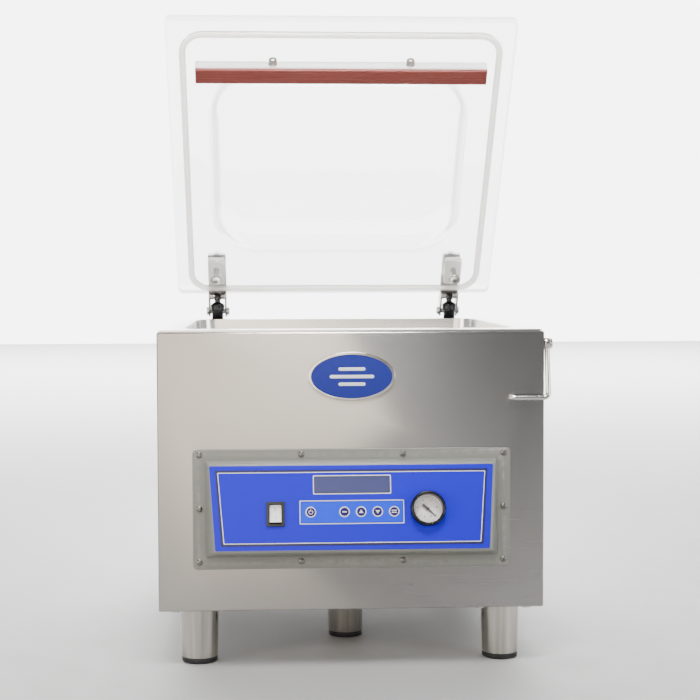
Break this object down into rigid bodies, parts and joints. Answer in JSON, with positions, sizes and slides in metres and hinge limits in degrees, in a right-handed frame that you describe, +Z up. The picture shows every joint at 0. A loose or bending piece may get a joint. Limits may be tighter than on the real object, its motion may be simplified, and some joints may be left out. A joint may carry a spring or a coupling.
{
  "type": "vacuum chamber sealer",
  "caption": "Countertop vacuum chamber sealer: stainless cabinet on round legs, deep chamber, clear vaulted lid on gas-sprung hinges, seal bar and blue control face.",
  "frame": {"origin": "middle of the footprint, on the floor under the feet", "axes": "+Z up; the front with the controls faces -Y; +X is to the operator's right"},
  "size_m": [0.502, 0.5774, 0.8562],
  "materials": {
    "stainless": "brushed stainless sheet, satin grain",
    "bright_steel": "bright plated or polished steel",
    "clear_acrylic": "clear acrylic, polished, slightly frosted by wear",
    "white_plastic": "white moulded nylon",
    "black_plastic": "black moulded plastic, fine texture",
    "bezel_grey": "warm grey moulded plastic, fine texture",
    "overlay_blue": "blue printed polycarbonate overlay, satin",
    "keypad_blue": "lighter blue membrane strip, satin",
    "button_navy": "navy domed membrane key with white ring",
    "silicone_red": "red-brown silicone",
    "silicone_cream": "cream silicone foam cord",
    "spring_black": "black gloss paint",
    "pump_paint": "grey machine paint",
    "cast_aluminium": "cast and machined aluminium",
    "copper_winding": "varnished copper winding and laminations",
    "board_green": "solder-masked circuit board",
    "brass": "machined brass",
    "black_rubber": "black rubber hose",
    "badge_blue": "blue enamel on a blank oval plate with a silver rim",
    "gauge_glass": "flat clear window"
  },
  "bodies": {
    "cabinet": {"body_shell": "stainless", "back_panel": "stainless", "base_tray": "stainless", "chamber_tank": "stainless", "lift_unit": "cast_aluminium", "control_bezel": "bezel_grey", "badge": "badge_blue", "hook_pivot": "bright_steel", "vacuum_pump": "pump_paint", "pump_motor": "cast_aluminium", "valve_block": "brass", "vacuum_hose": "black_rubber", "transformer": "copper_winding", "power_inlet": "black_plastic", "leg_front_left": "stainless", "leg_front_right": "stainless", "leg_centre": "stainless", "leg_rear_left": "stainless", "leg_rear_right": "stainless", "leg_cap_front_left": "black_plastic", "leg_cap_front_right": "black_plastic", "leg_cap_centre": "black_plastic", "leg_cap_rear_left": "black_plastic", "leg_cap_rear_right": "black_plastic", "panel_overlay": "overlay_blue", "keypad_strip": "keypad_blue", "rocker_frame": "black_plastic", "gauge_case": "black_plastic", "gauge_lens": "gauge_glass", "control_board": "board_green", "hinge_bracket_left": "stainless", "hinge_bracket_right": "stainless"},
    "lid": {"lid": "clear_acrylic", "lid_gasket": "silicone_cream", "counter_bar_holder": "white_plastic", "counter_bar_strip": "silicone_red", "counter_bar_nut_left": "bright_steel", "hinge_block_left": "white_plastic", "hinge_stud_left": "bright_steel", "hinge_arm_left": "stainless", "hinge_pivot_left": "bright_steel", "counter_bar_nut_right": "bright_steel", "hinge_block_right": "white_plastic", "hinge_stud_right": "bright_steel", "hinge_arm_right": "stainless", "hinge_pivot_right": "bright_steel"},
    "gas_spring_left": {"gas_spring_left": "spring_black"},
    "gas_spring_right": {"gas_spring_right": "spring_black"},
    "gas_rod_left": {"gas_rod_left": "bright_steel"},
    "gas_rod_right": {"gas_rod_right": "bright_steel"},
    "seal_bar": {"seal_bar": "cast_aluminium"},
    "hold_down_hook": {"hold_down_hook": "bright_steel"},
    "rocker_button": {"rocker_button": "white_plastic"},
    "gauge_needle": {"gauge_needle": "black_plastic"},
    "motor_fan": {"motor_fan": "black_plastic"},
    "button_power": {"button_power": "button_navy"},
    "button_set": {"button_set": "button_navy"},
    "button_up": {"button_up": "button_navy"},
    "button_down": {"button_down": "button_navy"},
    "button_stop": {"button_stop": "button_navy"}
  },
  "joints": [
    {"name": "lid_hinge", "type": "hinge", "parent": "cabinet", "child": "lid", "pos_m": [-0.00605, 0.27721, 0.441], "axis": [1, 0, 0], "range_deg": [0, 52.5], "stiffness_Nm_per_rad": 12, "springref_deg": -85.94},
    {"name": "gas_spring_left_swivel", "type": "hinge", "parent": "lid", "child": "gas_spring_left", "pos_m": [-0.18955, 0.25675, 0.46438], "axis": [1, 0, 0], "range_deg": [-49.01, 0]},
    {"name": "gas_rod_left_slide", "type": "slide", "parent": "gas_spring_left", "child": "gas_rod_left", "axis": [0, -0.0073, 1], "range_m": [0, 0.025]},
    {"name": "gas_spring_right_swivel", "type": "hinge", "parent": "lid", "child": "gas_spring_right", "pos_m": [0.17745, 0.25675, 0.46438], "axis": [1, 0, 0], "range_deg": [-49.01, 0]},
    {"name": "gas_rod_right_slide", "type": "slide", "parent": "gas_spring_right", "child": "gas_rod_right", "axis": [0, -0.0073, 1], "range_m": [0, 0.025]},
    {"name": "seal_bar_lift", "type": "slide", "parent": "cabinet", "child": "seal_bar", "axis": [0, 0, 1], "range_m": [0, 0.0085], "stiffness_N_per_m": 600, "springref_m": -0.005},
    {"name": "hook_swing", "type": "hinge", "parent": "cabinet", "child": "hold_down_hook", "pos_m": [0.24345, -0.23679, 0.4105], "axis": [1, 0, 0], "range_deg": [-216, 0]},
    {"name": "rocker_tilt", "type": "hinge", "parent": "cabinet", "child": "rocker_button", "pos_m": [-0.10325, -0.27062, 0.19984], "axis": [1, 0, 0], "range_deg": [0, 18]},
    {"name": "gauge_needle_turn", "type": "hinge", "parent": "cabinet", "child": "gauge_needle", "pos_m": [0.08725, -0.2727, 0.20549], "axis": [0, -0.9644, 0.2644], "range_deg": [0, 264], "stiffness_Nm_per_rad": 0.0005},
    {"name": "motor_fan_spin", "type": "hinge", "parent": "cabinet", "child": "motor_fan", "pos_m": [-0.00605, 0.05521, 0.1955], "axis": [1, 0, 0], "continuous": true},
    {"name": "button_power_press", "type": "slide", "parent": "cabinet", "child": "button_power", "axis": [0, 0.9644, -0.2644], "range_m": [0, 0.0006], "stiffness_N_per_m": 400, "springref_m": -0.0005},
    {"name": "button_set_press", "type": "slide", "parent": "cabinet", "child": "button_set", "axis": [0, 0.9644, -0.2644], "range_m": [0, 0.0006], "stiffness_N_per_m": 400, "springref_m": -0.0005},
    {"name": "button_up_press", "type": "slide", "parent": "cabinet", "child": "button_up", "axis": [0, 0.9644, -0.2644], "range_m": [0, 0.0006], "stiffness_N_per_m": 400, "springref_m": -0.0005},
    {"name": "button_down_press", "type": "slide", "parent": "cabinet", "child": "button_down", "axis": [0, 0.9644, -0.2644], "range_m": [0, 0.0006], "stiffness_N_per_m": 400, "springref_m": -0.0005},
    {"name": "button_stop_press", "type": "slide", "parent": "cabinet", "child": "button_stop", "axis": [0, 0.9644, -0.2644], "range_m": [0, 0.0006], "stiffness_N_per_m": 400, "springref_m": -0.0005}
  ],
  "couplings": [
    {"joint": "gas_spring_left_swivel", "follows": "lid_hinge", "ratio": -0.93342},
    {"joint": "gas_rod_left_slide", "follows": "lid_hinge", "m_per_rad": 0.027253},
    {"joint": "gas_spring_right_swivel", "follows": "lid_hinge", "ratio": -0.93342},
    {"joint": "gas_rod_right_slide", "follows": "lid_hinge", "m_per_rad": 0.027253}
  ]
}
